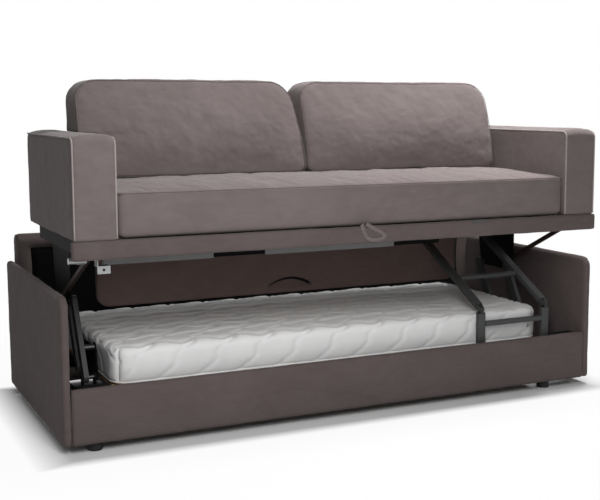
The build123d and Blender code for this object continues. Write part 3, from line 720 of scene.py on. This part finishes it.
def makeMattress():
    form = mattressForm
    low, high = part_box("mattress")
    bm = gridBox(low, high, form["step"])
    roundBox(bm, low, high, form["edge"])
    corner = form["corner"]
    for v in bm.verts:
        for cx, wx in ((low.x + corner, -1), (high.x - corner, 1)):
            for cy, wy in ((low.y + corner, -1), (high.y - corner, 1)):
                turnCorner(v, 0, 1, (cx, cy), (wx, wy))
    middle, half = (low + high) / 2, (high - low) / 2
    for v in bm.verts:
        unit = [min(1.0, abs(v.co[i] - middle[i]) / half[i]) for i in range(2)]
        rise = eased((v.co.z - middle.z) / half.z)
        # flatter by the ladder, where the ladder's guides come down on it
        pressed = form["pressed"] * eased((v.co.x - form["ladder"]) / form["ladderRun"])
        v.co.z += form["crown"] * rise * (1 - unit[0] ** 8) * (1 - unit[1] ** 5) * (1 - pressed)
        v.co.y += form["rear"] * eased((v.co.y - middle.y) / half.y)
    bm.normal_update()
    for v in bm.verts:       # the quilting runs over the edge without a break
        side = Vector((v.normal.x, v.normal.y))
        flat = abs(v.normal.z)
        drop = (high.z - v.co.z) if v.normal.z > -0.5 else 0.0
        u = v.co.x + (math.copysign(drop, side.x) if abs(side.x) > abs(side.y) else 0.0)
        w = v.co.y + (math.copysign(drop, side.y) if abs(side.y) >= abs(side.x) else 0.0)
        if flat < 0.4 and abs(side.x) > abs(side.y):
            u, w = v.co.y, -drop
        pull = quiltDepth(u, w, eased((flat - 0.3) / 0.5)) * eased((v.co.z - low.z) / form["plain"])
        share = form["sideDepth"] if flat < 0.4 else 1.0
        v.co -= v.normal * form["depth"] * (pull * share - form["puff"])
    crumple(bm, form["fold"], form["foldScale"], 21)
    piece = addPiece("mattress", bm, "quilt", "lower_bed")
    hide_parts("mattress")
    inset = form["pipeIn"]
    loop = roundedLoop(low.x + inset, high.x - inset, low.y + inset, high.y - inset, corner)
    points = [(p[0], p[1], low.z + form["pipeHeight"]) for p in densified(loop, 0.05)]
    addPipe("mattressWelt", points, form["pipe"], "quilt", "lower_bed")


makeMattress()
print("stage: mattress")


# seat and back cushions

seatForm = {
    "step": 0.02, "edge": 0.014, "corner": 0.013, "crown": 0.02, "crownShare": 0.6,
    "inset": 0.004, "front": 0.005, "behind": 0.002, "spread": 0.003, "fill": 0.7,
    "voxel": 0.0115, "sewn": 0.014, "seamStep": 0.008, "frames": 16, "pressure": 4.0, "cap": 0.012,
    "fold": 0.0042, "foldReach": 0.03,
    "pucker": 0.0015, "pleat": 0.061, "puckerReach": 0.02, "puckerFade": 0.09,
    "lipReach": 0.008, "lipHeight": 0.06, "lipGap": 0.001,
    "pipe": 0.0018, "pipeIn": 0.003, "pipeDown": 0.004,
}


def makeSeat():
    form = seatForm
    low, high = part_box("seat_cushion")
    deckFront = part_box("seat_deck")[0].y
    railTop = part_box("front_rail")[1].z
    low += Vector((form["inset"], form["front"], 0.0))
    high -= Vector((form["inset"], form["behind"], form["crown"]))
    bm = gridBox(low, high, form["step"])
    roundBox(bm, low, high, form["edge"])
    corner = form["corner"]
    for v in bm.verts:
        turnCorner(v, 0, 1, (low.x + corner, low.y + corner), (-1, -1))
        turnCorner(v, 0, 1, (high.x - corner, low.y + corner), (1, -1))
    loop = densified(roundedLoop(low.x, high.x, low.y, high.y, 0.012, corner), form["seamStep"])
    seams = [Vector((p[0], p[1], z)) for z in (low.z, high.z - 0.002) for p in loop]
    bm = filled("seatCover", bm, form, seams)
    middle = (low + high) / 2
    half = (high - low) / 2
    for v in bm.verts:
        u = min(1.0, abs(v.co.x - middle.x) / half.x)
        w = min(1.0, abs(v.co.y - middle.y) / half.y)
        top = eased((v.co.z - middle.z) / half.z)
        v.co.z += form["crown"] * form["crownShare"] * top * (1 - u ** 6) * (1 - w ** 3)
        # loose folds over the top, and small puckers along its front seam
        reach = v.co.y - low.y
        fold = noise.fractal(Vector((v.co.x * 9, v.co.y * 4 + v.co.x * 3, 7.3)), 0.7, 2.0, 4)
        v.co.z += form["fold"] * top * fold * eased(reach / form["foldReach"])
        wander = v.co.x + 0.05 * noise.noise(Vector((v.co.x * 6, 0.4, 2.1))) + reach * 0.35
        ripple = math.sin(2 * math.pi * wander / form["pleat"]) * (0.6 + 0.8 * noise.noise(v.co * 5))
        start, fade = eased(reach / form["puckerReach"]), math.exp(-reach / form["puckerFade"])
        v.co.z += form["pucker"] * top * ripple * start * fade
        v.co.z = max(v.co.z, low.z)
        # its cover goes on down over the front of the base board
        ahead = eased((deckFront - form["lipGap"] - v.co.y) / form["lipReach"])
        lip = ahead * (1 - eased((v.co.z - low.z) / form["lipHeight"]))
        v.co.z -= (low.z - railTop - form["lipGap"]) * lip
        v.co.y = min(v.co.y, high.y)
        v.co.x = min(max(v.co.x, low.x - form["spread"]), high.x + form["spread"])
    piece = addPiece("seatCushion", bm, "velvet", "sofa")
    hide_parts("seat_cushion")
    inset = form["pipeIn"]
    edge = roundedLoop(low.x + inset, high.x - inset, low.y + inset, high.y, 0.01, corner)
    front = [(x, y, high.z - form["pipeDown"]) for x, y in edge if y < low.y + corner]
    line = densified(front, 0.03, False)
    addPipe("seatWelt", line, form["pipe"], "velvet", "sofa", closed=False)


makeSeat()

backForm = {
    "width": {"left": 0.888, "right": 0.892}, "tall": 0.362, "thick": 0.17, "lean": 14.0, "belly": 0.02,
    "step": 0.016, "edge": 0.012, "corner": 0.082, "foot": 0.028, "fill": 0.75,
    "middle": -0.032, "gap": 0.003, "behind": 0.002, "drift": {"left": 0.044, "right": 0.008},
    "spill": 0.021, "armSink": 0.009, "armEase": 0.006, "armGap": 0.002, "outerFrom": -0.55, "outerRun": 0.3,
    "voxel": 0.008, "sewn": 0.010, "seamStep": 0.008, "frames": 18, "pressure": 4.0, "cap": 0.026,
    "fold": 0.0032, "foldScale": 5.0, "pipe": 0.0013, "pipeIn": 0.002, "pipeBehind": 0.003,
}


def makeBackCushion(side):
    form = backForm
    cadLow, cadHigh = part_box("back_cushion_" + side)
    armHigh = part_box("arm_left")[1]
    half = Vector((form["width"][side] / 2, form["thick"] / 2, form["tall"] / 2))
    low, high = -half, half.copy()
    bm = gridBox(low, high, form["step"])
    roundBox(bm, low, high, form["edge"])
    corner, foot = form["corner"], form["foot"]
    for v in bm.verts:
        for x, way in ((low.x, -1), (high.x, 1)):
            turnCorner(v, 0, 2, (x - way * corner, high.z - corner), (way, 1))
            turnCorner(v, 0, 2, (x - way * foot, low.z + foot), (way, -1))
    inset = form["pipeIn"]
    loop = roundedLoop(low.x + inset, high.x - inset, low.z + inset, high.z - inset, corner, foot)
    loop = densified(loop, form["seamStep"])
    frontRing = [Vector((p[0], low.y + form["pipeBehind"], p[1])) for p in loop]
    rearRing = [Vector((p[0], high.y - form["pipeBehind"], p[1])) for p in loop]
    bm = filled("backCover" + side.title(), bm, form, frontRing + rearRing)
    crumple(bm, form["fold"], form["foldScale"], 41 if side == "left" else 43)
    fall = math.tan(math.radians(form["lean"]))
    bottom = min(v.co.z for v in bm.verts)
    front, rear = min(v.co.y for v in bm.verts), max(v.co.y for v in bm.verts)
    way = 1 if side == "right" else -1
    start = form["middle"] + way * form["gap"]
    shift = Vector((start + way * half.x, 0.0, cadLow.z - bottom))

    def settled(co):
        # thick below and thin above: its back is upright and its front leans
        share = (co.y - front) / (rear - front)
        upward = min(1.0, max(0.0, (co.z - bottom) / form["tall"]))
        leaning = cadLow.y + fall * (co.z - bottom) - form["belly"] * math.sin(math.pi * upward ** 0.85)
        spot = Vector((co.x, leaning + (cadHigh.y - form["behind"] - leaning) * share, co.z)) + shift
        rise = eased((spot.z - cadLow.z) / (cadHigh.z - cadLow.z))
        drift = form["drift"][side] * rise
        spot.x -= drift
        if side == "left":       # it spills over the arm, and lies on it
            over = eased((spot.z - armHigh.z + form["armSink"]) / form["armEase"])
            outer = eased((form["outerFrom"] - spot.x) / form["outerRun"])
            spot.x += drift * outer - form["spill"] * over * outer
            spot.x = max(spot.x, armHigh.x + form["armGap"] - form["spill"] * over)
        return spot

    for v in bm.verts:
        v.co = settled(v.co)
    piece = addPiece("backCushion" + side.title(), bm, "velvet", "sofa")
    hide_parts("back_cushion_" + side)
    seam = [settled(spot) for spot in frontRing]
    addPipe("backWelt" + side.title(), seam, form["pipe"], "velvet", "sofa")


for side in ("left", "right"):
    makeBackCushion(side)
print("stage: cushions")


# pull strap

strapForm = {
    "line": (
        (-0.012, 0.744), (-0.002, 0.716), (0.014, 0.692), (0.042, 0.684), (0.074, 0.687), (0.084, 0.699),
        (0.068, 0.712), (0.036, 0.728), (0.006, 0.746),
    ),
    "wide": 0.016, "thick": 0.0016, "steps": 8, "front": 0.0012, "sway": 0.0006, "sways": 9,
}


def smoothLine(points, steps):
    # a Catmull-Rom line through the points
    spots = [Vector(p) for p in points]
    spots = [spots[0] * 2 - spots[1]] + spots + [spots[-1] * 2 - spots[-2]]
    line = []
    for a, b, c, d in zip(spots, spots[1:], spots[2:], spots[3:]):
        for i in range(steps):
            t = i / steps
            line.append(0.5 * (2 * b + (c - a) * t + (2 * a - 5 * b + 4 * c - d) * t * t
                               + (3 * b - a - 3 * c + d) * t ** 3))
    return line + [spots[-2]]


def makeStrap():
    form = strapForm
    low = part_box("pull_strap")[0]
    line = smoothLine([(x, 0.0, z) for x, z in form["line"]], form["steps"])
    length = sum((b - a).length for a, b in zip(line, line[1:]))
    bm = bmesh.new()
    edge = None
    for i, spot in enumerate(line):
        ahead = line[min(i + 1, len(line) - 1)] - line[max(i - 1, 0)]
        across = ahead.normalized().cross(Vector((0, 1, 0))) * form["wide"] / 2
        share = i / (len(line) - 1)
        y = low.y + form["front"] + form["sway"] * math.sin(share * form["sways"])
        middle = Vector((spot.x, y, spot.z))
        ends = [middle - across, middle + across]
        if edge is None:
            edge = bm.edges.new([bm.verts.new(place) for place in ends])
            continue
        made = bmesh.ops.extrude_edge_only(bm, edges=[edge])["geom"]
        edges = [g for g in made if isinstance(g, bmesh.types.BMEdge)]
        newEdge = [e for e in edges if not any(v in edge.verts for v in e.verts)][0]
        # the new point that hangs on the old edge's first point goes first
        first = [v for v in newEdge.verts if any(edge.verts[0] in e.verts for e in v.link_edges)][0]
        second = newEdge.other_vert(first)
        first.co, second.co = ends
        edge = newEdge
    strap = addPiece("pullStrap", bm, "velvet", "sofa")
    ribbon = strap.modifiers.new("thickness", "SOLIDIFY")
    ribbon.thickness = form["thick"]
    ribbon.offset = 0.0
    applyModifiers(strap)
    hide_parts("pull_strap")


makeStrap()
print("stage: strap")


# floor and light

roomForm = {
    "size": 16.0, "drop": 0.0005, "tone": 0.84, "half": (1.13, 0.54), "margin": 0.97, "fade": 8.0,
    "shade": 0.12, "reach": 2.4, "sky": 0.2,
}
lampForms = {
    "keySoftbox": {"place": (-0.9, -2.4, 1.85), "aim": (-0.3, 0.0, 0.6), "size": (0.6, 1.7), "power": 38.5},
    "topSoftbox": {"place": (1.1, -0.13, 2.6), "aim": (0.65, -0.1, 0.8), "size": (0.5, 1.5), "power": 64.0},
}
white = (1, 1, 1, 1)


def seenShare(start):
    # 1 for what the camera sees, by itself or in a gloss, and 0 for the light on the object
    names = ("Is Camera Ray", "Is Glossy Ray", "Is Transmission Ray")
    rays = [start.node("ShaderNodeLightPath", pick=name) for name in names]
    return (rays[0] + rays[1] + rays[2]).clamped()


def makeFloor():
    bm = bmesh.new()
    bmesh.ops.create_grid(bm, x_segments=1, y_segments=1, size=roomForm["size"])
    mesh = bpy.data.meshes.new("floor")
    bm.to_mesh(mesh)
    bm.free()
    floor = bpy.data.objects.new("floor", mesh)
    floor.location.z = -roomForm["drop"]
    scene.collection.objects.link(floor)
    material, start, place = startMaterial("paleFloor")
    tone = roomForm["tone"]
    plain = start.node("ShaderNodeBsdfDiffuse", {}, {"Color": (tone, tone, tone, 1.0)})
    glow = start.node("ShaderNodeEmission", {}, {"Color": white, "Strength": 1.0})
    ring = stretched(start, place, (1 / roomForm["reach"],) * 3)
    near = start.node("ShaderNodeTexGradient", {"gradient_type": "SPHERICAL"}, {"Vector": ring}, pick="Fac")
    # the floor is its own colour under the object and just round it, so that the shadow there shows
    spotX, spotY = (start.node("ShaderNodeSeparateXYZ", {}, {"Vector": place}, pick=axis) for axis in "XY")
    across = start.maths("ABSOLUTE", spotX) / roomForm["half"][0]
    along = start.maths("ABSOLUTE", spotY) / roomForm["half"][1]
    outside = ((start.maths("MAXIMUM", across, along) - roomForm["margin"]) * roomForm["fade"]).clamped()
    share = seenShare(start) * outside * (1 - near * roomForm["shade"])
    mixed = start.node("ShaderNodeMixShader", {}, {0: share, 1: plain, 2: glow})
    out = material.node_tree.nodes.new("ShaderNodeOutputMaterial")
    material.node_tree.links.new(mixed.out, out.inputs["Surface"])
    mesh.materials.append(material)


def makeSky():
    world = bpy.data.worlds.new("studio")
    scene.world = world
    world.use_nodes = True
    tree = world.node_tree
    tree.nodes.clear()
    start = Sock(tree)
    soft = start.node("ShaderNodeBackground", {}, {"Color": white, "Strength": roomForm["sky"]})
    pale = start.node("ShaderNodeBackground", {}, {"Color": white, "Strength": 1.0})
    mixed = start.node("ShaderNodeMixShader", {}, {0: seenShare(start), 1: soft, 2: pale})
    out = tree.nodes.new("ShaderNodeOutputWorld")
    tree.links.new(mixed.out, out.inputs["Surface"])


def addLamp(name, form):
    data = bpy.data.lights.new(name, "AREA")
    data.shape = "RECTANGLE"
    data.size, data.size_y = form["size"]
    data.energy = form["power"]
    lamp = bpy.data.objects.new(name, data)
    lamp.location = form["place"]
    aim = Vector(form["aim"]) - Vector(form["place"])
    lamp.rotation_euler = aim.to_track_quat("-Z", "Y").to_euler()
    scene.collection.objects.link(lamp)


makeFloor()
makeSky()
for name, form in lampForms.items():
    addLamp(name, form)
scene.view_settings.view_transform = "Standard"
print("stage: room")
